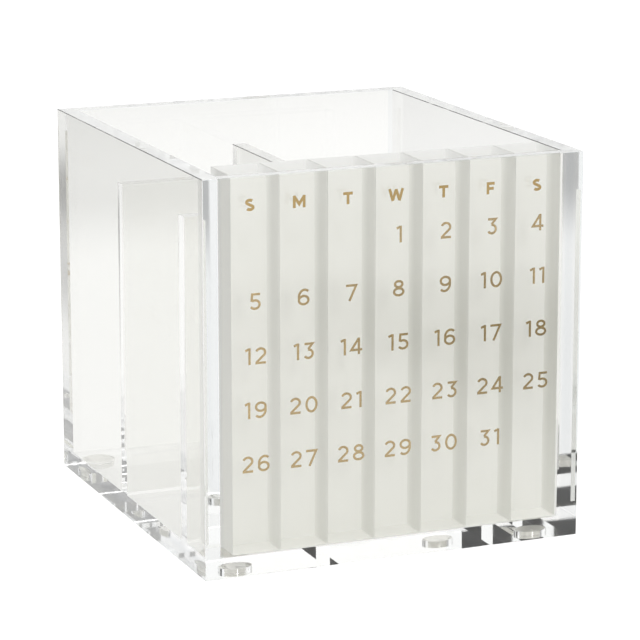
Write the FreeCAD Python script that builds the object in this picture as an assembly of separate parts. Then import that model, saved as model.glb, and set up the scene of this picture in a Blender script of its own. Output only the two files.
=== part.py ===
import FreeCAD, Part
import os

# A clear acrylic desk box with a row of loose date bars standing in a slot behind its
# front pane. Millimetres, +Z up, +X to the right as seen from the front, front towards -Y.
# The origin is under the middle of the box, on the surface that the feet stand on.

# Driving dimensions of the box
BOX_WIDTH = 150.0
BOX_DEPTH = 165.0
BOX_HEIGHT = 147.5        # clear walls with the floor, without the feet
WALL = 7.0                # the side walls and the back wall
PANE = 5.0                # the front pane, from thinner sheet
FLOOR = 7.0               # the floor slab that the walls stand on
DIVIDER = 6.0             # the three inner panels
DIVIDER_DROP = 18.0       # the inner panels end this far under the rim
MIDDLE_DEPTH = 61.0       # the full-width compartment behind the bars
EDGE = 0.2                # broken and polished: the outer edges and the edges of the rim
DIVIDER_EDGE = 0.2        # the same on the top edges of the inner panels

# Driving dimensions of the loose date bars
BAR_COUNT = 7             # one for each day of the week
BLANK_DAYS = 3            # weekdays before the first date: a month that begins on a Wednesday
BAR_DEPTH = 18.3          # as deep as the bars come out wide, so their section is square
BAR_GAP = 0.4             # between two bars, and between the last bar and the right wall
SLOT_CLEARANCE = 0.6      # in front of and behind a bar
SEAT_CLEARANCE = 0.2      # under a bar
FINGER_GAP = 5.1          # free width left at the left end of the slot
BAR_EDGE = 0.2            # polished bevel on every edge of a bar

# Driving dimensions of the stick-on feet
FOOT_DIAMETER = 12.7
FOOT_HEIGHT = 3.9
FOOT_POCKET = 1.4         # how far a foot is let into the floor slab
POCKET_CLEARANCE = 0.15   # air round a foot in its pocket
FOOT_ROUND = 0.8          # rounding of the edge that meets the desk
FOOT_INSET = 15.0         # from the box's sides to a foot's middle

# Levels and planes that follow from them
FLOOR_BOTTOM = FOOT_HEIGHT - FOOT_POCKET
FLOOR_TOP = FLOOR_BOTTOM + FLOOR
RIM = FLOOR_BOTTOM + BOX_HEIGHT
DIVIDER_TOP = RIM - DIVIDER_DROP

RIGHT = BOX_WIDTH / 2
BACK = BOX_DEPTH / 2
INNER_RIGHT = RIGHT - WALL
INNER_FRONT = -BACK + PANE
INNER_BACK = BACK - WALL
FOOT_X = RIGHT - FOOT_INSET
FOOT_Y = BACK - FOOT_INSET

SLOT_BACK = INNER_FRONT + BAR_DEPTH + 2 * SLOT_CLEARANCE
SLOT_WALL_BACK = SLOT_BACK + DIVIDER
CROSS_FRONT = SLOT_WALL_BACK + MIDDLE_DEPTH
CROSS_BACK = CROSS_FRONT + DIVIDER

BAR_ROW_WIDTH = 2 * INNER_RIGHT - FINGER_GAP - BAR_GAP
BAR_PITCH = (BAR_ROW_WIDTH + BAR_GAP) / BAR_COUNT
BAR_WIDTH = BAR_PITCH - BAR_GAP

# The bars from left to right, each named by the first date printed on it.
BAR_ORDER = [(place - BLANK_DAYS) % BAR_COUNT + 1 for place in range(BAR_COUNT)]


def block(low, high):
    """A box between two opposite corners."""
    size = [h - l for l, h in zip(low, high)]
    return Part.makeBox(size[0], size[1], size[2], FreeCAD.Vector(*low))


def bevelled_block(low, high, bevel):
    """A box with a small bevel on all twelve edges."""
    body = block(low, high)
    return body.makeChamfer(bevel, body.Edges)


def outer_form():
    """The whole box as one bevelled block: every outer panel is a slice of it."""
    return bevelled_block((-RIGHT, -BACK, FLOOR_BOTTOM), (RIGHT, BACK, RIM), EDGE)


def mouth_form():
    """The flare at the open top, which bevels the inner edge of the rim all round."""
    low = (-INNER_RIGHT - EDGE, INNER_FRONT - EDGE, RIM - EDGE)
    high = (INNER_RIGHT + EDGE, INNER_BACK + EDGE, RIM + EDGE)
    lid = block(low, high)
    lower_edges = [edge for edge in lid.Edges if edge.BoundBox.ZMax < RIM]
    return lid.makeChamfer(EDGE, lower_edges)


def outer_panel(low, high):
    """One panel of the shell, cut from the bevelled block and opened at the rim."""
    return outer_form().common(block(low, high)).cut(mouth_form())


def floor_panel():
    """The floor slab, with a shallow round pocket under each corner for a foot."""
    slab = outer_panel((-RIGHT, -BACK, FLOOR_BOTTOM), (RIGHT, BACK, FLOOR_TOP))
    radius = FOOT_DIAMETER / 2 + POCKET_CLEARANCE
    for x in (-FOOT_X, FOOT_X):
        for y in (-FOOT_Y, FOOT_Y):
            slab = slab.cut(Part.makeCylinder(radius, FOOT_HEIGHT, FreeCAD.Vector(x, y, 0)))
    return slab


def side_wall(side):
    """A side wall runs the full depth, so its polished ends show at the front and back."""
    inner, outer = sorted((side * INNER_RIGHT, side * RIGHT))
    return outer_panel((inner, -BACK, FLOOR_TOP), (outer, BACK, RIM))


def front_panel():
    return outer_panel((-INNER_RIGHT, -BACK, FLOOR_TOP), (INNER_RIGHT, INNER_FRONT, RIM))


def back_panel():
    return outer_panel((-INNER_RIGHT, INNER_BACK, FLOOR_TOP), (INNER_RIGHT, BACK, RIM))


def inner_panel(low, high):
    """An upright panel glued to the floor and walls, with only its long top edges bevelled."""
    body = block((low[0], low[1], FLOOR_TOP), (high[0], high[1], DIVIDER_TOP))
    long_way = max(high[0] - low[0], high[1] - low[1])
    top_edges = []
    for edge in body.Edges:
        level = edge.BoundBox.ZMin > DIVIDER_TOP - DIVIDER_EDGE
        if level and edge.Length > long_way - DIVIDER_EDGE:
            top_edges.append(edge)
    return body.makeChamfer(DIVIDER_EDGE, top_edges)


def slot_wall():
    """The panel behind the bars."""
    return inner_panel((-INNER_RIGHT, SLOT_BACK), (INNER_RIGHT, SLOT_WALL_BACK))


def cross_divider():
    """The panel that parts the middle compartment from the two rear ones."""
    return inner_panel((-INNER_RIGHT, CROSS_FRONT), (INNER_RIGHT, CROSS_BACK))


def centre_divider():
    """The panel that parts the rear space into a left and a right compartment."""
    return inner_panel((-DIVIDER / 2, CROSS_BACK), (DIVIDER / 2, INNER_BACK))


def date_bar(place):
    """The bar at a place counted from the left; the row stands against the right wall."""
    right = INNER_RIGHT - BAR_GAP - (BAR_COUNT - 1 - place) * BAR_PITCH
    front = INNER_FRONT + SLOT_CLEARANCE
    low = (right - BAR_WIDTH, front, FLOOR_TOP + SEAT_CLEARANCE)
    high = (right, front + BAR_DEPTH, RIM)
    return bevelled_block(low, high, BAR_EDGE)


def foot(x, y):
    """A soft disc, turned from a profile with a rounded lower edge."""
    radius = FOOT_DIAMETER / 2
    flat = radius - FOOT_ROUND
    lean = FOOT_ROUND * (1 - 0.5 ** 0.5)
    axis_bottom = FreeCAD.Vector(x, y, 0)
    rim_bottom = FreeCAD.Vector(x + flat, y, 0)
    rim_middle = FreeCAD.Vector(x + radius - lean, y, lean)
    rim_side = FreeCAD.Vector(x + radius, y, FOOT_ROUND)
    top_side = FreeCAD.Vector(x + radius, y, FOOT_HEIGHT)
    axis_top = FreeCAD.Vector(x, y, FOOT_HEIGHT)
    profile = Part.Wire([
        Part.makeLine(axis_bottom, rim_bottom),
        Part.Arc(rim_bottom, rim_middle, rim_side).toShape(),
        Part.makeLine(rim_side, top_side),
        Part.makeLine(top_side, axis_top),
        Part.makeLine(axis_top, axis_bottom),
    ])
    return Part.Face(profile).revolve(axis_bottom, FreeCAD.Vector(0, 0, 1), 360)


def feet():
    """Four feet, one near each corner of the floor slab."""
    return {
        "foot_front_left": foot(-FOOT_X, -FOOT_Y),
        "foot_front_right": foot(FOOT_X, -FOOT_Y),
        "foot_back_left": foot(-FOOT_X, FOOT_Y),
        "foot_back_right": foot(FOOT_X, FOOT_Y),
    }


def date_bars():
    return {"date_bar_%d" % first: date_bar(place) for place, first in enumerate(BAR_ORDER)}


def nodes():
    """Every piece of the object under the name of its node."""
    pieces = {
        "floor_panel": floor_panel(),
        "front_panel": front_panel(),
        "back_panel": back_panel(),
        "left_wall": side_wall(-1),
        "right_wall": side_wall(1),
        "slot_wall": slot_wall(),
        "cross_divider": cross_divider(),
        "centre_divider": centre_divider(),
    }
    pieces.update(date_bars())
    pieces.update(feet())
    return pieces


os.makedirs("parts", exist_ok=True)
for name, shape in nodes().items():
    solid = shape.Solids[0]
    solid.exportStep("parts/%s.step" % name)
    bounds = solid.BoundBox
    print("%-18s solids %d  volume %9.1f  x %7.2f %7.2f  y %7.2f %7.2f  z %7.2f %7.2f" % (
        name, len(shape.Solids), solid.Volume, bounds.XMin, bounds.XMax,
        bounds.YMin, bounds.YMax, bounds.ZMin, bounds.ZMax))
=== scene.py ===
# %% [markdown]
# # A clear desk box with a row of dated bars
#
# The object is a cube-like box glued from clear acrylic sheet, with three inner panels that
# part it into compartments and seven loose bars in a slot behind the front pane. Each bar
# carries the dates of one weekday in gold foil, so the row of bars shows a month.
# The CAD model already has every solid at its true size. Blender adds what the eye reads:
# polished acrylic that bends light, joints that light crosses as if they were not there,
# the milky coat on the bars, the printed foil, and the studio around it.

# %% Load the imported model
import math

import bpy
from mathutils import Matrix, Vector
from mathutils.geometry import delaunay_2d_cdt


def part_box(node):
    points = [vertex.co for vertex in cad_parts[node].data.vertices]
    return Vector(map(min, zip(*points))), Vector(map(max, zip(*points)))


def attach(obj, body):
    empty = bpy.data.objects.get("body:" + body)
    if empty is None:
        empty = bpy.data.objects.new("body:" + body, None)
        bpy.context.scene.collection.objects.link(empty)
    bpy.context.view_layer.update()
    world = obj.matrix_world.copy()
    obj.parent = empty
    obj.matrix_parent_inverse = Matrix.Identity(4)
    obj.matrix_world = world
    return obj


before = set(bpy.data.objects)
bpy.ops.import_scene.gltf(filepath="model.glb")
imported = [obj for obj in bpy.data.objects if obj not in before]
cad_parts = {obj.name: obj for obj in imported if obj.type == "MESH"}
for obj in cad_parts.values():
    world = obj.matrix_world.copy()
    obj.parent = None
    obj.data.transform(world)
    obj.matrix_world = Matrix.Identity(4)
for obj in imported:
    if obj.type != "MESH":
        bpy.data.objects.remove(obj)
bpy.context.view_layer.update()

MM = 0.001

# %% [markdown]
# ## Measures that the looks share
#
# Glue lines, coats and prints have to sit exactly on the panels, so their places are read
# from the CAD nodes and never typed in a second time.

# %% Read the panels' faces from the frame
floor_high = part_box("floor_panel")[1]
pane_low, pane_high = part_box("front_panel")
back_low, back_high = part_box("back_panel")
slot_low, slot_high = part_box("slot_wall")
cross_low, cross_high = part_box("cross_divider")
centre_low, centre_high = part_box("centre_divider")
foot_low, foot_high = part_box("foot_back_right")
bar_nodes = sorted(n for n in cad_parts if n.startswith("date_bar_"))
bar_low, bar_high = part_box(bar_nodes[0])

FLOOR_TOP = floor_high.z
INNER_SIDE = pane_high.x
OUTER_FRONT = pane_low.y
print("floor top %.2f mm, inner side %.2f mm, bars from y %.2f to %.2f mm" % (
    FLOOR_TOP / MM, INNER_SIDE / MM, bar_low.y / MM, bar_high.y / MM))

# %% [markdown]
# ## Helpers for materials
#
# Colours are written as the sRGB hex values a designer would pick, and one function turns
# them to the linear values that a renderer adds and multiplies. One more function adds a
# shader node with its settings and links, so that each material below reads as a short list.


# %% Colour and node helpers
def colour(hex_value):
    """Linear RGBA from an sRGB hex string."""
    parts = [int(hex_value[i:i + 2], 16) / 255 for i in (1, 3, 5)]
    return [c / 12.92 if c <= 0.04045 else ((c + 0.055) / 1.055) ** 2.4 for c in parts] + [1.0]


def add(tree, kind, inputs=None, **settings):
    """Adds a node. An input is a value, an output socket, or a node whose first output is used."""
    node = tree.nodes.new(kind)
    for name, value in settings.items():
        setattr(node, name, value)
    for key, value in (inputs or {}).items():
        if isinstance(value, bpy.types.Node):
            value = value.outputs[0]
        if isinstance(value, bpy.types.NodeSocket):
            tree.links.new(value, node.inputs[key])
        else:
            node.inputs[key].default_value = value
    return node


def new_material(name):
    """An empty material with an empty node tree, for the caller to fill."""
    material = bpy.data.materials.new(name)
    material.use_nodes = True
    material.node_tree.nodes.clear()
    return material, material.node_tree


# %% [markdown]
# ## Clear acrylic with optical joints
#
# The sheets are solvent-welded: the joint has no air in it, so light runs from one panel
# straight into the next and only the outer faces bend or mirror it. Two solids that touch
# would normally show an air gap that isn't there. The fix is to find the glued faces by
# their place and make just those faces fully transparent. Every joint lies on one of a few
# planes, so a handful of comparisons describes them all: the floor's top, the inner faces of
# the side walls, the two ends of the centre divider, and the ceilings of the shallow pockets
# under the slab, where the gel feet stick.
# One simplification: shadow rays and diffusely bounced rays pass the sheet straight, where
# real acrylic bends them. It keeps the inside bright without caustics, which are slow.


# %% Find the glued faces
def glued_faces(tree):
    """1 on faces that are welded to a neighbour, 0 on faces in air."""
    touch = 0.02 * MM

    def maths(operation, a, b=0.0, c=0.0):
        return add(tree, "ShaderNodeMath", {0: a, 1: b, 2: c}, operation=operation)

    def near(value, middle, half):
        return maths("COMPARE", value, middle, half)

    place = add(tree, "ShaderNodeTexCoord").outputs["Object"]
    axes = add(tree, "ShaderNodeSeparateXYZ", {0: place})
    side = maths("ABSOLUTE", axes.outputs["X"])
    depth = axes.outputs["Y"]
    height = axes.outputs["Z"]

    def within(low, high):
        return near(depth, (low.y + high.y) / 2, (high.y - low.y) / 2)

    at_ends = maths("MAXIMUM", within(pane_low, pane_high), within(back_low, back_high))
    below_tops = maths("LESS_THAN", height, slot_high.z)
    at_slot = within(slot_low, slot_high)
    at_cross = within(cross_low, cross_high)
    at_dividers = maths("MULTIPLY", maths("MAXIMUM", at_slot, at_cross), below_tops)
    upright = maths("MAXIMUM", at_ends, at_dividers)
    on_sides = maths("MULTIPLY", near(side, INNER_SIDE, touch), upright)

    centre_middle = (centre_low.y + centre_high.y) / 2
    centre_half = (centre_high.y - centre_low.y) / 2
    in_centre = near(side, 0.0, centre_high.x)
    under_centre = maths("MULTIPLY", in_centre, within(centre_low, centre_high))
    under_walls = maths("GREATER_THAN", side, INNER_SIDE)
    footprint = maths("MAXIMUM", maths("MAXIMUM", upright, under_walls), under_centre)
    on_floor = maths("MULTIPLY", near(height, FLOOR_TOP, touch), footprint)

    from_middle = maths("ABSOLUTE", maths("SUBTRACT", depth, centre_middle))
    at_centre_ends = maths("MULTIPLY", near(from_middle, centre_half, touch), below_tops)
    on_centre_ends = maths("MULTIPLY", in_centre, at_centre_ends)

    foot_middle = ((foot_low.x + foot_high.x) / 2, (foot_low.y + foot_high.y) / 2, 0.0)
    folded = add(tree, "ShaderNodeCombineXYZ", {0: side, 1: maths("ABSOLUTE", depth)})
    reach = add(tree, "ShaderNodeVectorMath", {0: folded, 1: foot_middle}, operation="DISTANCE")
    over_foot = maths("LESS_THAN", reach.outputs["Value"], (foot_high.x - foot_low.x) / 2)
    on_feet = maths("MULTIPLY", near(height, foot_high.z, touch), over_foot)

    walls = maths("MAXIMUM", on_sides, on_floor)
    return maths("MAXIMUM", maths("MAXIMUM", walls, on_centre_ends), on_feet)


def cut_edges(tree):
    """1 on the sawn and polished edges of the sheets, 0 on their faces."""
    skin = 0.25 * MM

    def maths(operation, a, b=0.0):
        return add(tree, "ShaderNodeMath", {0: a, 1: b}, operation=operation)

    place = add(tree, "ShaderNodeTexCoord").outputs["Object"]
    axes = add(tree, "ShaderNodeSeparateXYZ", {0: place})
    side = maths("ABSOLUTE", axes.outputs["X"])
    depth = maths("ABSOLUTE", axes.outputs["Y"])
    height = axes.outputs["Z"]
    on_rim = maths("GREATER_THAN", height, pane_high.z - skin)
    on_ends = maths("MULTIPLY", maths("GREATER_THAN", depth, -OUTER_FRONT - skin),
                    maths("GREATER_THAN", side, INNER_SIDE))
    on_slab = maths("MULTIPLY", maths("GREATER_THAN", side, floor_high.x - skin),
                    maths("LESS_THAN", height, FLOOR_TOP))
    return maths("MAXIMUM", maths("MAXIMUM", on_rim, on_ends), on_slab)


def let_light_through(tree, body, glued, tint):
    """Shadow and bounced light pass a clear body straight, as do all rays at a glued face."""
    path = add(tree, "ShaderNodeLightPath")
    soft = add(tree, "ShaderNodeMath", {0: path.outputs["Is Shadow Ray"],
                                        1: path.outputs["Is Diffuse Ray"]}, operation="MAXIMUM")
    clear = add(tree, "ShaderNodeBsdfTransparent", {"Color": tint})
    lit = add(tree, "ShaderNodeMixShader", {0: soft, 1: body, 2: clear})
    bonded = add(tree, "ShaderNodeBsdfTransparent")
    mixed = add(tree, "ShaderNodeMixShader", {0: glued, 1: lit, 2: bonded})
    add(tree, "ShaderNodeOutputMaterial", {0: mixed})


# %% Cast acrylic sheet, diamond-polished edges
ACRYLIC_IOR = 1.49
SWELLS = 30.0      # to the metre: a faint swell every 33 mm
HAZE_SPOTS = 180.0  # to the metre: a patch of faint haze every 5.6 mm


def cast_acrylic():
    material, tree = new_material("Cast_acrylic_polished")
    place = add(tree, "ShaderNodeTexCoord").outputs["Object"]
    # A faint swell keeps mirrored lines from being ruler-straight.
    swell = add(tree, "ShaderNodeTexNoise", {"Vector": place, "Scale": SWELLS, "Detail": 1.0})
    wave = add(tree, "ShaderNodeBump", {"Height": swell, "Strength": 0.2, "Distance": 0.02 * MM})
    haze = add(tree, "ShaderNodeTexNoise", {"Vector": place, "Scale": HAZE_SPOTS, "Detail": 3.0})
    gloss = add(tree, "ShaderNodeMapRange", {0: haze, 1: 0.4, 2: 0.8, 3: 0.0, 4: 0.02})
    edge = cut_edges(tree)
    tone = add(tree, "ShaderNodeMix", {0: edge, 6: colour("#FAFAF8"), 7: colour("#EDEFEF")},
               data_type="RGBA")
    rough = add(tree, "ShaderNodeMath", {0: edge, 1: 0.04, 2: gloss}, operation="MULTIPLY_ADD")
    body = add(tree, "ShaderNodeBsdfPrincipled", {
        "Base Color": tone.outputs[2], "Roughness": rough, "IOR": ACRYLIC_IOR,
        "Transmission Weight": 1.0, "Normal": wave})
    let_light_through(tree, body, glued_faces(tree), colour("#FCFCFB"))
    return material


clear_acrylic = cast_acrylic()
panels = ["floor_panel", "front_panel", "back_panel", "left_wall", "right_wall",
          "slot_wall", "cross_divider", "centre_divider"]
for name in panels:
    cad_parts[name].data.materials.clear()
    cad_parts[name].data.materials.append(clear_acrylic)
print("clear acrylic on", len(panels), "panels")


# %% [markdown]
# ## Gel feet
#
# The feet are taken for cast discs of soft polyurethane, which are sold clear. These look
# milky in the photograph, so here about a third of the light passes and the rest scatters:
# a choice that matches their tone, not something known about the real gel.
# The eye sees each foot twice: through the slab, and mirrored by the slab's underside.


# %% Gel bumper feet
GEL_IOR = 1.5
GEL_GRAIN = 900.0  # to the metre: one every 1.1 mm, chosen coarse so that it shows


def clear_gel():
    material, tree = new_material("Polyurethane_gel_moulded")
    place = add(tree, "ShaderNodeTexCoord").outputs["Object"]
    grain = add(tree, "ShaderNodeTexNoise", {"Vector": place, "Scale": GEL_GRAIN, "Detail": 2.0})
    rough = add(tree, "ShaderNodeMapRange", {0: grain, 1: 0.3, 2: 0.7, 3: 0.08, 4: 0.2})
    body = add(tree, "ShaderNodeBsdfPrincipled", {
        "Base Color": colour("#E6E5E0"), "Roughness": rough, "IOR": GEL_IOR,
        "Transmission Weight": 0.35})
    add(tree, "ShaderNodeOutputMaterial", {0: body})
    return material


gel = clear_gel()
feet = sorted(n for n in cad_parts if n.startswith("foot_"))
for name in feet:
    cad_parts[name].data.materials.clear()
    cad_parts[name].data.materials.append(gel)
print("gel on", len(feet), "feet")


# %% [markdown]
# ## The bars: clear in front, milky behind
#
# A bar is a solid stick of clear acrylic whose back and two sides carry a milky white coat.
# Looking in at an angle, the eye meets the coat on the back as a light stripe and the coat
# on the far side as a darker one, and the row reads as a fluted panel. The coat is part of
# the surface, so the material chooses between clear and milky by place on the bar.
# The coat itself is a reading of the stripes. On the sides its colour is painted shade: it
# darkens forward from the back corner and towards the top. Shadow and diffuse rays pass the
# side coats here, which keeps the backs evenly lit as in the photograph, while the camera still
# sees the coat's tone. A real coat would dim such rays too.


# %% Bar acrylic with a milky coat
SIDE_SHADE_FADE = 9 * MM    # from the back corner to where the painted side shade is darkest
COAT_LINES = (2200.0, 2200.0, 12.0)  # to the metre: lines 0.45 mm apart and 83 mm long
COAT_CLOUDS = 45.0    # to the metre: one every 22 mm
COAT_PASSES = 0.08    # the share of light that goes through the coat


def coated_bar():
    material, tree = new_material("Cast_acrylic_with_milky_coat")
    bevel = 0.22 * MM
    shape = add(tree, "ShaderNodeTexCoord")
    place = shape.outputs["Object"]
    axes = add(tree, "ShaderNodeSeparateXYZ", {0: place})

    def maths(operation, a, b=0.0):
        return add(tree, "ShaderNodeMath", {0: a, 1: b}, operation=operation)

    in_front = maths("LESS_THAN", axes.outputs["Y"], bar_low.y + bevel)
    on_top = maths("GREATER_THAN", axes.outputs["Z"], bar_high.z - bevel)
    is_clear = maths("MAXIMUM", in_front, on_top)

    # Fine upright lines, as a coat drawn along the bar leaves.
    stretch = add(tree, "ShaderNodeMapping", {"Vector": place, "Scale": COAT_LINES})
    lines = add(tree, "ShaderNodeTexNoise", {"Vector": stretch, "Scale": 1.0, "Detail": 2.0})
    cloud = add(tree, "ShaderNodeTexNoise", {
        "Vector": place, "Scale": COAT_CLOUDS, "Detail": 3.0})
    blend = add(tree, "ShaderNodeMix", {0: 0.35, 2: lines, 3: cloud}, data_type="FLOAT")
    tone = add(tree, "ShaderNodeMix", {0: blend, 6: colour("#EAEAE8"), 7: colour("#EFEFED")},
               data_type="RGBA")

    # On the sides the coat's colour is painted shade: darker forward of the back corner and
    # towards the top.
    turned = add(tree, "ShaderNodeSeparateXYZ", {0: shape.outputs["Normal"]})
    on_side = maths("GREATER_THAN", maths("ABSOLUTE", turned.outputs["X"]), 0.6)
    shade_from_corner = add(tree, "ShaderNodeMapRange", {
        0: axes.outputs["Y"], 1: bar_high.y, 2: bar_high.y - SIDE_SHADE_FADE, 3: 0.0, 4: 1.0},
        interpolation_type="SMOOTHSTEP")
    side_shade = maths("MULTIPLY", on_side, shade_from_corner)
    up = add(tree, "ShaderNodeMapRange", {0: axes.outputs["Z"], 1: bar_low.z, 2: bar_high.z})
    side_shade_tone = add(tree, "ShaderNodeMix", {0: up, 6: colour("#E2E2DF"), 7: colour("#D6D6D3")},
                    data_type="RGBA")
    shade = add(tree, "ShaderNodeMix", {0: side_shade, 6: tone.outputs[2], 7: side_shade_tone.outputs[2]},
                data_type="RGBA").outputs[2]
    milk = add(tree, "ShaderNodeBsdfPrincipled", {
        "Base Color": shade, "Roughness": 0.45, "Specular IOR Level": 0.2})
    glow = add(tree, "ShaderNodeBsdfTranslucent", {"Color": shade})
    coat = add(tree, "ShaderNodeMixShader", {0: COAT_PASSES, 1: milk, 2: glow})

    # Painted shade: the clear top faces get a grey tint, which darkens the bar tops.
    top_shade_tint = add(tree, "ShaderNodeMix", {0: on_top, 6: colour("#FBFBF9"), 7: colour("#DDDEDC")},
              data_type="RGBA")
    body = add(tree, "ShaderNodeBsdfPrincipled", {
        "Base Color": top_shade_tint.outputs[2], "Roughness": 0.0, "IOR": ACRYLIC_IOR,
        "Transmission Weight": 1.0})
    path = add(tree, "ShaderNodeLightPath")
    soft = maths("MAXIMUM", path.outputs["Is Shadow Ray"], path.outputs["Is Diffuse Ray"])
    open_face = add(tree, "ShaderNodeBsdfTransparent", {"Color": colour("#FCFCFB")})
    clear = add(tree, "ShaderNodeMixShader", {0: soft, 1: body, 2: open_face})
    through = maths("MULTIPLY", soft, on_side)
    coat = add(tree, "ShaderNodeMixShader", {0: through, 1: coat, 2: open_face})
    shown = add(tree, "ShaderNodeMixShader", {0: is_clear, 1: coat, 2: clear})
    add(tree, "ShaderNodeOutputMaterial", {0: shown})
    return material


bar_acrylic = coated_bar()
for name in bar_nodes:
    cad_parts[name].data.materials.clear()
    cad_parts[name].data.materials.append(bar_acrylic)
print("milky coat on", len(bar_nodes), "bars")


# %% [markdown]
# ## Gold foil
#
# The dates and weekday letters look like hot-stamped metal foil. It mirrors softly, and its
# tone drifts a little from place to place, as foil does on a surface with tiny waves.


# %% Hot-stamped gold foil
FOIL_DRIFT = 40.0    # to the metre: the tone changes every 25 mm
FOIL_GRAIN = 1800.0  # to the metre: one dent every 0.56 mm


def stamped_foil():
    material, tree = new_material("Gold_foil_hot_stamped")
    place = add(tree, "ShaderNodeTexCoord").outputs["Object"]
    drift = add(tree, "ShaderNodeTexNoise", {"Vector": place, "Scale": FOIL_DRIFT, "Detail": 1.0})
    grain = add(tree, "ShaderNodeTexNoise", {"Vector": place, "Scale": FOIL_GRAIN, "Detail": 2.0})
    tone = add(tree, "ShaderNodeMix", {0: drift, 6: colour("#A48B5B"), 7: colour("#C6AE7F")},
               data_type="RGBA")
    rough = add(tree, "ShaderNodeMapRange", {0: grain, 3: 0.14, 4: 0.30})
    dents = add(tree, "ShaderNodeBump", {"Height": grain, "Strength": 0.3,
                                         "Distance": 0.01 * MM})
    metal = add(tree, "ShaderNodeBsdfPrincipled", {
        "Base Color": tone.outputs[2], "Metallic": 1.0, "Roughness": rough, "Normal": dents})
    add(tree, "ShaderNodeOutputMaterial", {0: metal})
    return material


gold_foil = stamped_foil()

# %% [markdown]
# ## Digits drawn with a pen of one width
#
# The print uses a plain geometric face: circles, straight strokes and one stroke width.
# A font file could give similar shapes, but strokes are easy to describe and scale: each
# glyph is a list of centre lines, and a ribbon laid along each line gives its outline.
# Where ribbons cross they must melt into one flat shape. A constrained triangulation does
# that: it takes all the ribbons' quads at once and keeps every triangle inside any of them.


# %% Pen strokes
def arc(x, y, rx, ry, start, end, steps=22):
    """Points on an ellipse from one angle to another, in degrees."""
    angles = [math.radians(start + (end - start) * i / steps) for i in range(steps + 1)]
    return [(x + rx * math.cos(a), y + ry * math.sin(a)) for a in angles]


def ribbon(points, half, closed=False):
    """Triangles of a ribbon with mitred corners along a line of points."""
    count = len(points)
    left, right = [], []
    for i, point in enumerate(points):
        before = points[i - 1] if i or closed else points[i]
        after = points[(i + 1) % count] if i < count - 1 or closed else points[i]
        here = Vector(point)
        come = (here - Vector(before)) if before != point else (Vector(after) - here)
        leave = (Vector(after) - here) if after != point else come
        come.normalize()
        leave.normalize()
        tangent = (come + leave).normalized()
        across = Vector((-tangent.y, tangent.x))
        lean = max(0.35, across.dot(Vector((-come.y, come.x))))
        left.append(here + across * half / lean)
        right.append(here - across * half / lean)
    halves = []
    for i in range(count if closed else count - 1):
        j = (i + 1) % count
        halves += [(left[i], left[j], right[j]), (left[i], right[j], right[i])]
    return halves


# %% [markdown]
# Each glyph is one unit high. The first number is the glyph's width, which sets how far the
# next digit stands away; the strokes follow as centre lines, with True on closed loops.


# %% Centre lines of the digits and letters
PEN = 0.145
BOLD_PEN = 0.24


def digit_strokes():
    h = PEN / 2
    low, top = h, 1 - h
    six_bowl = arc(0.372, 0.318, 0.372 - h, 0.318 - h, 0, 360)[:-1]
    six_arm = arc(0.43, 0.5, 0.43 - h, 0.5 - h, 50, 196)
    turned = [[(0.744 - x, 1 - y) for x, y in line] for line in (six_bowl, six_arm)]
    return {
        "0": (0.78, [(arc(0.39, 0.5, 0.39 - h, 0.5 - h, 0, 360)[:-1], True)]),
        "1": (0.33, [([(0.275, 0.0), (0.275, 1.0)], False),
                     ([(0.015, 0.845), (0.26, 0.945)], False)]),
        "2": (0.67, [(arc(0.34, 0.685, 0.277, 0.685 - 0.37 - h, 160, -36)
                      + [(0.06, low * 1.25)], False),
                     ([(0.015, low), (0.67, low)], False)]),
        "3": (0.64, [([(0.05, top), (0.56, top), (0.285, 0.605)], False),
                     (arc(0.305, 0.325, 0.335 - h, 0.325 - h, 98, -150), False)]),
        "4": (0.75, [([(0.54, 0.0), (0.54, 1.0)], False),
                     ([(0.525, 0.96), (0.055, 0.275), (0.75, 0.275)], False)]),
        "5": (0.68, [([(0.64, top), (0.15, top), (0.115, 0.50)], False),
                     (arc(0.32, 0.32, 0.36 - h, 0.32 - h, 128, -150), False)]),
        "6": (0.744, [(six_bowl, True), (six_arm, False)]),
        "7": (0.69, [([(0.0, top), (0.645, top), (0.215, 0.0)], False)]),
        "8": (0.744, [(arc(0.372, 0.745, 0.31 - h, 0.255 - h, 0, 360)[:-1], True),
                      (arc(0.372, 0.285, 0.372 - h, 0.285 - h, 0, 360)[:-1], True)]),
        "9": (0.744, [(turned[0], True), (turned[1], False)]),
    }


def letter_strokes():
    h = BOLD_PEN / 2
    top = 1 - h
    upper = arc(0.40, 0.715, 0.385 - h, 0.285 - h, 38, 245)
    lower = arc(0.415, 0.285, 0.395 - h, 0.285 - h, 65, -148)
    return {
        "F": (0.72, [([(h, 0.0), (h, 1.0)], False), ([(h, top), (0.72, top)], False),
                     ([(h, 0.47), (0.64, 0.47)], False)]),
        "M": (1.08, [([(h, 0.0), (h, 1.0)], False), ([(1.08 - h, 0.0), (1.08 - h, 1.0)], False),
                     ([(h, 0.93), (0.54, 0.30), (1.08 - h, 0.93)], False)]),
        "S": (0.82, [(upper + lower, False)]),
        "T": (0.82, [([(0.0, top), (0.82, top)], False), ([(0.41, 0.0), (0.41, 1.0)], False)]),
        "W": (1.36, [([(0.105, 1.0), (0.395, 0.0)], False),
                     ([(0.395, 0.06), (0.68, 0.95)], False),
                     ([(0.68, 0.95), (0.965, 0.06)], False),
                     ([(0.965, 0.0), (1.255, 1.0)], False)]),
    }


# %% Turn strokes into flat foil shapes
FOIL_THICKNESS = 0.03 * MM


def inside_any(point, triangles):
    """True where a point lies inside one of the ribbons' triangles."""
    for a, b, c in triangles:
        turns = [(b - a).cross(point - a), (c - b).cross(point - b), (a - c).cross(point - c)]
        if min(turns) >= 0 or max(turns) <= 0:
            return True
    return False


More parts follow.
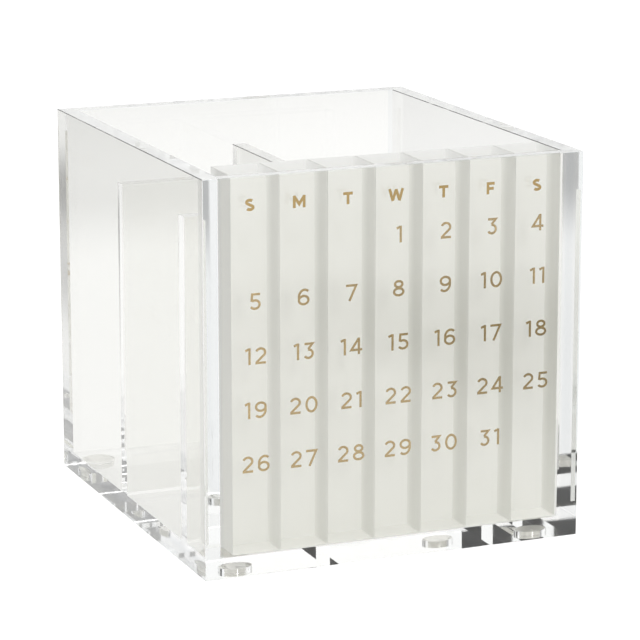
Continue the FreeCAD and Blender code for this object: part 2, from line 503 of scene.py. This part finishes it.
def foil_glyph(name, strokes, pen, height):
    """A thin closed plate in the plane y = 0, facing -Y, one glyph high."""
    triangles = [t for line, closed in strokes for t in ribbon(line, pen / 2, closed)]
    corners = [corner for triangle in triangles for corner in triangle]
    numbers = [[i, i + 1, i + 2] for i in range(0, len(corners), 3)]
    flat, _, faces, *_ = delaunay_2d_cdt(corners, [], numbers, 1, 1e-4)
    faces = [f for f in faces
             if inside_any(sum((flat[i] for i in f), Vector((0, 0))) / len(f), triangles)]
    flat = [p * height for p in flat]
    count = len(flat)
    front = [(p.x, -FOIL_THICKNESS, p.y) for p in flat]
    back = [(p.x, 0.0, p.y) for p in flat]
    edges = {}
    for face in faces:
        for a, b in zip(face, face[1:] + face[:1]):
            edges[(a, b)] = edges.get((a, b), 0) + 1
    rim = [(a, b) for a, b in edges if (b, a) not in edges]
    shell = [list(f) for f in faces]
    shell += [[i + count for i in reversed(f)] for f in faces]
    shell += [[b, a, a + count, b + count] for a, b in rim]
    mesh = bpy.data.meshes.new(name)
    mesh.from_pydata(front + back, [], shell)
    mesh.update()
    return bpy.data.objects.new(name, mesh)


DIGIT_HEIGHT = 6.2 * MM
LETTER_HEIGHT = 4.5 * MM
glyph_width = {}
glyph_order = {}


def glyph_collection(name, strokes, pen, height):
    """One object for each glyph, kept out of the scene: the stamping tree picks from them."""
    collection = bpy.data.collections.new(name)
    for index, (sign, (width, lines)) in enumerate(sorted(strokes.items())):
        collection.objects.link(foil_glyph("glyph_" + sign, lines, pen, height))
        glyph_width[sign] = width * height
        glyph_order[sign] = index
    return collection


digits = glyph_collection("foil_digits", digit_strokes(), PEN, DIGIT_HEIGHT)
letters = glyph_collection("foil_letters", letter_strokes(), BOLD_PEN, LETTER_HEIGHT)

# %% [markdown]
# ## Stamping the foil with Geometry Nodes
#
# Every number is a pick from the same ten digits, placed by a rule. That is what instancing
# is for: a point marks where a glyph stands, an attribute says which one, another turns it
# to face the back where the bar is printed on both sides. The tree sets a glyph on each
# point and ends in real geometry.


# %% The stamping tree
def stamping_tree():
    tree = bpy.data.node_groups.new("Stamp_glyphs", "GeometryNodeTree")
    sockets = tree.interface
    sockets.new_socket("Places", in_out="INPUT", socket_type="NodeSocketGeometry")
    sockets.new_socket("Glyphs", in_out="INPUT", socket_type="NodeSocketCollection")
    sockets.new_socket("Foil", in_out="INPUT", socket_type="NodeSocketMaterial")
    sockets.new_socket("Print", in_out="OUTPUT", socket_type="NodeSocketGeometry")
    given = add(tree, "NodeGroupInput")
    glyphs = add(tree, "GeometryNodeCollectionInfo", {
        "Collection": given.outputs["Glyphs"], "Separate Children": True,
        "Reset Children": True})
    which = add(tree, "GeometryNodeInputNamedAttribute", {"Name": "glyph"}, data_type="INT")
    turn = add(tree, "GeometryNodeInputNamedAttribute", {"Name": "turn"},
               data_type="FLOAT_VECTOR")
    stamped = add(tree, "GeometryNodeInstanceOnPoints", {
        "Points": given.outputs["Places"], "Instance": glyphs.outputs["Instances"],
        "Pick Instance": True, "Instance Index": which.outputs["Attribute"],
        "Rotation": turn.outputs["Attribute"]})
    solid = add(tree, "GeometryNodeRealizeInstances", {"Geometry": stamped})
    foil = add(tree, "GeometryNodeSetMaterial", {
        "Geometry": solid, "Material": given.outputs["Foil"]})
    add(tree, "NodeGroupOutput", {"Print": foil})
    return tree


STAMP = stamping_tree()


def stamp(name, body, glyphs, places):
    """Foil for places [(sign, x, y, z, faces the back)], as a plain mesh that rides on a body."""
    mesh = bpy.data.meshes.new(name + "_places")
    mesh.from_pydata([p[1:4] for p in places], [], [])
    which = mesh.attributes.new("glyph", "INT", "POINT")
    which.data.foreach_set("value", [glyph_order[p[0]] for p in places])
    turn = mesh.attributes.new("turn", "FLOAT_VECTOR", "POINT")
    turn.data.foreach_set("vector", [v for p in places for v in (0, 0, math.pi * p[4])])
    maker = bpy.data.objects.new(name + "_maker", mesh)
    bpy.context.scene.collection.objects.link(maker)
    modifier = maker.modifiers.new("Stamp", "NODES")
    modifier.node_group = STAMP
    for item in STAMP.interface.items_tree:
        if item.name == "Glyphs":
            modifier[item.identifier] = glyphs
        if item.name == "Foil" and item.in_out == "INPUT":
            modifier[item.identifier] = gold_foil
    graph = bpy.context.evaluated_depsgraph_get()
    print_mesh = bpy.data.meshes.new_from_object(maker.evaluated_get(graph))
    bpy.data.objects.remove(maker)
    piece = bpy.data.objects.new(name, print_mesh)
    bpy.context.scene.collection.objects.link(piece)
    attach(piece, body)
    return piece


# %% [markdown]
# ## A month on seven bars
#
# A bar carries the dates that fall on one weekday: its first date, then seven more at each
# row. Its front suits the place it stands in now. The backs are inferred: each is set one row
# higher or lower, for the months in which the same bar stands on the other side of the
# first. Turn the bar round and the row still reads in order.

# %% Dates on the bars
ROW_PITCH = 20.1 * MM
FIRST_ROW = 123.8 * MM
DIGIT_GAP = 0.30 * DIGIT_HEIGHT
ON_FACE = 0.01 * MM
LAST_DATE = 31


def row_of_digits(text, x, y, z, behind):
    """Places for a number centred on x and z, on a face at y."""
    width = sum(glyph_width[s] for s in text) + DIGIT_GAP * (len(text) - 1)
    way = -1 if behind else 1
    places, start = [], x - way * width / 2
    for sign in text:
        places.append((sign, start, y, z - DIGIT_HEIGHT / 2, behind))
        start += way * (glyph_width[sign] + DIGIT_GAP)
    return places


def dates(node):
    """Front and back prints of one bar."""
    first = int(node.rsplit("_", 1)[1])
    low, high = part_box(node)
    middle = (low.x + high.x) / 2
    starts_low = low.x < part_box("date_bar_1")[0].x
    places = []
    for week, number in enumerate(range(first, LAST_DATE + 1, 7)):
        here = FIRST_ROW - ROW_PITCH * (week + starts_low)
        places += row_of_digits(str(number), middle, low.y - ON_FACE, here, False)
        if first > 1:
            there = FIRST_ROW - ROW_PITCH * (week + (not starts_low))
            places += row_of_digits(str(number), middle, high.y + ON_FACE, there, True)
    return stamp("dates_%d" % first, "bar_%d" % first, digits, places)


for node in bar_nodes:
    piece = dates(node)
    print(piece.name, "triangles", sum(len(p.vertices) - 2 for p in piece.data.polygons))

# %% [markdown]
# The weekday letters are stamped on the pane itself, on its outer face, so they stay where
# they are when the bars are reordered. Their row falls a little to the right, as it does in
# the photograph.

# %% Weekday letters on the pane
LETTER_PITCH = 18.85 * MM
FIRST_LETTER = -57.1 * MM
LETTER_MIDDLE = 139.8 * MM
LETTER_FALL = 0.18 * MM

letter_places = []
for place, sign in enumerate("SMTWTFS"):
    x = FIRST_LETTER + LETTER_PITCH * place - glyph_width[sign] / 2
    z = LETTER_MIDDLE - LETTER_FALL * place - LETTER_HEIGHT / 2
    letter_places.append((sign, x, OUTER_FRONT - ON_FACE, z, False))
stamp("weekday_letters", "box", letters, letter_places)
print("weekday letters:", len(letter_places))

# %% [markdown]
# ## The studio
#
# The photograph has a white floor and almost no shadow. Here that is a shooting table: a
# sheet of milky acrylic that glows by itself. Clear acrylic shows its surroundings in its
# edges by total reflection, so the grey lines and dark blocks of such a box are places of
# the room. The real room isn't known. The zones below were set until the edges, the
# stripes and the foil came near the photograph's tones:
# - back left, which greys the front ends of the walls
# - front right, a painted shadow of the box on the table beside its right side, which
#   darkens the foil and the rear edge of the left wall
# - a faint painted shadow under the box and just in front of it, a zone far beyond it, and
#   a spot like a lamp stand's foot
# The camera sees the table as plain white. The zones act only on rays that reach the table
# by way of the object or the room.


# %% Shooting table
TABLE_SEEN = 0.98        # strength for the camera's own rays
TABLE_GLOW = 0.85        # strength for all other rays where no zone dims the table
BACK_LEFT_DIM = 0.45     # how much each zone takes away from that
FRONT_RIGHT_DIM = 0.45
UNDER_BOX_SHADOW_DIM = 0.12
BEYOND_DIM = 0.10
STAND_DIM = 0.22
STAND_FOOT = (0.18, -0.42, 0.0)


def shooting_table():
    material, tree = new_material("Opal_acrylic_table_lit_from_below")
    place = add(tree, "ShaderNodeTexCoord").outputs["Object"]

    def maths(operation, a, b=0.0):
        return add(tree, "ShaderNodeMath", {0: a, 1: b}, operation=operation)

    def fade(value, start, end):
        """0 on the near side of start, 1 beyond end, both in metres."""
        return add(tree, "ShaderNodeMapRange", {0: value, 1: start, 2: end, 3: 0.0, 4: 1.0},
                   interpolation_type="SMOOTHSTEP")

    axes = add(tree, "ShaderNodeSeparateXYZ", {0: place})
    far = fade(axes.outputs["Y"], 0.45, 0.64)
    left = fade(axes.outputs["X"], 0.06, -0.06)
    back_left = maths("MULTIPLY", maths("MULTIPLY", far, left), BACK_LEFT_DIM)
    # Painted shadow of the box on the table, beside and in front of its right side.
    near_side = fade(axes.outputs["Y"], 0.04, -0.08)
    far_side = fade(axes.outputs["Y"], -0.60, -0.38)
    right = fade(axes.outputs["X"], 0.10, 0.16)
    front = maths("MULTIPLY", near_side, far_side)
    front_right = maths("MULTIPLY", maths("MULTIPLY", front, right), FRONT_RIGHT_DIM)
    # Painted shadow: a band from under the box to just in front of it.
    at_foot = fade(axes.outputs["Y"], -0.22, -0.12)
    before = maths("LESS_THAN", axes.outputs["Y"], 0.08)
    in_front = maths("MULTIPLY", maths("MULTIPLY", at_foot, before), UNDER_BOX_SHADOW_DIM)
    beyond = maths("MULTIPLY", fade(axes.outputs["Y"], 0.7, 1.1), BEYOND_DIM)
    to_stand = add(tree, "ShaderNodeVectorMath", {0: place, 1: STAND_FOOT},
                   operation="DISTANCE").outputs["Value"]
    stand = maths("MULTIPLY", fade(to_stand, 0.15, 0.05), STAND_DIM)
    dim = maths("ADD", maths("ADD", back_left, front_right), maths("ADD", in_front, beyond))
    glow = maths("SUBTRACT", maths("SUBTRACT", TABLE_GLOW, dim), stand)
    seen = add(tree, "ShaderNodeLightPath").outputs["Is Camera Ray"]
    strength = add(tree, "ShaderNodeMix", {0: seen, 2: glow, 3: TABLE_SEEN}, data_type="FLOAT")
    opal = add(tree, "ShaderNodeBsdfPrincipled", {
        "Base Color": colour("#585858"), "Roughness": 0.5, "Specular IOR Level": 0.1,
        "Emission Color": colour("#FFFFFF"), "Emission Strength": strength.outputs[0]})
    add(tree, "ShaderNodeOutputMaterial", {0: opal})
    return material


reach = 4.0
gap = 0.2 * MM
corners = [(x * reach, y * reach, -gap) for x, y in ((-1, -1), (1, -1), (1, 1), (-1, 1))]
table_mesh = bpy.data.meshes.new("shooting_table")
table_mesh.from_pydata(corners, [], [(0, 1, 2, 3)])
table_top = bpy.data.objects.new("shooting_table", table_mesh)
table_mesh.materials.append(shooting_table())
bpy.context.scene.collection.objects.link(table_top)

print("table", 2 * reach, "m wide,", gap / MM, "mm under the feet")

# %% [markdown]
# The room is plain white light with three darker patches, set like the table's zones.
# They stand for darker parts of a room, which the sheet's edges pick up.

# %% Room light
ROOM_LIGHT = 1.08
# Each patch: its direction, its inner and outer angle in degrees, and the share it takes.
DARK_PATCHES = [
    ((-0.5, 0.85, 0.35), 12, 25, 0.95),
    ((0.5, -0.8, 0.33), 15, 50, 0.65),
    ((-0.45, -0.9, 0.2), 10, 40, 0.3),
]

world = bpy.data.worlds.new("Studio_room")
bpy.context.scene.world = world
world.use_nodes = True
room = world.node_tree
room.nodes.clear()
way = add(room, "ShaderNodeTexCoord").outputs["Generated"]


def dark_patch(light, centre, inner, outer, share):
    """Takes a share of the light away round a direction, between two angles in degrees."""
    to_centre = add(room, "ShaderNodeVectorMath", {0: way, 1: Vector(centre).normalized()},
                    operation="DOT_PRODUCT").outputs["Value"]
    taken = add(room, "ShaderNodeMapRange", {
        0: to_centre, 1: math.cos(math.radians(outer)), 2: math.cos(math.radians(inner)),
        3: 1.0, 4: 1.0 - share}, interpolation_type="SMOOTHSTEP")
    return add(room, "ShaderNodeMath", {0: light, 1: taken}, operation="MULTIPLY")


room_light = ROOM_LIGHT
for centre, inner, outer, share in DARK_PATCHES:
    room_light = dark_patch(room_light, centre, inner, outer, share)
room_sky = add(room, "ShaderNodeBackground", {"Color": colour("#FFFFFF"), "Strength": room_light})
add(room, "ShaderNodeOutputWorld", {0: room_sky})


def softbox(name, place, aim, size, power):
    """A large rectangular softbox."""
    data = bpy.data.lights.new(name, "AREA")
    data.shape = "RECTANGLE"
    data.size, data.size_y = size
    data.energy = power
    lamp = bpy.data.objects.new(name, data)
    lamp.location = place
    lamp.rotation_mode = "QUATERNION"
    lamp.rotation_quaternion = (Vector(aim) - Vector(place)).to_track_quat("-Z", "Y")
    bpy.context.scene.collection.objects.link(lamp)
    return lamp


softbox("overhead_softbox", (0.0, 0.2, 1.6), (0.0, 0.0, 0.1), (1.4, 1.4), 9.0)
softbox("front_key", (0.15, -1.8, 0.7), (0.0, 0.0, 0.08), (0.35, 0.9), 10.5)

# %% [markdown]
# ## The camera
#
# The photograph was taken from the front left and a little above, with a long lens that
# keeps the box's edges nearly parallel.

# %% Camera
AZIMUTH = math.radians(-22.60)
ELEVATION = math.radians(13.34)
DISTANCE = 1.198
AIM = Vector((0.0041, 0.0, 0.0744))
PICTURE = 640
FOCAL_PIXELS = 3075
SENSOR_WIDTH = 36.0

camera_data = bpy.data.cameras.new("camera")
camera_data.sensor_width = SENSOR_WIDTH
camera_data.lens = SENSOR_WIDTH * FOCAL_PIXELS / PICTURE
camera = bpy.data.objects.new("camera", camera_data)
towards_camera = Vector((math.sin(AZIMUTH) * math.cos(ELEVATION),
                         -math.cos(AZIMUTH) * math.cos(ELEVATION), math.sin(ELEVATION)))
camera.location = AIM + towards_camera * DISTANCE
camera.rotation_mode = "QUATERNION"
camera.rotation_quaternion = (-towards_camera).to_track_quat("-Z", "Y")
bpy.context.scene.collection.objects.link(camera)
bpy.context.scene.camera = camera
print("lens %.1f mm" % camera_data.lens)

# %% [markdown]
# ## How the light is followed
#
# Light in clear sheet bounces many times before it leaves, so the renderer gets plenty of
# bounces. The standard view keeps the white table white.

# %% Render choices of the scene
scene = bpy.context.scene
scene.view_settings.view_transform = "Standard"
cycles = scene.cycles
cycles.max_bounces = 40
cycles.diffuse_bounces = 5
cycles.glossy_bounces = 32
cycles.transmission_bounces = 40
cycles.transparent_max_bounces = 64
cycles.use_denoising = True
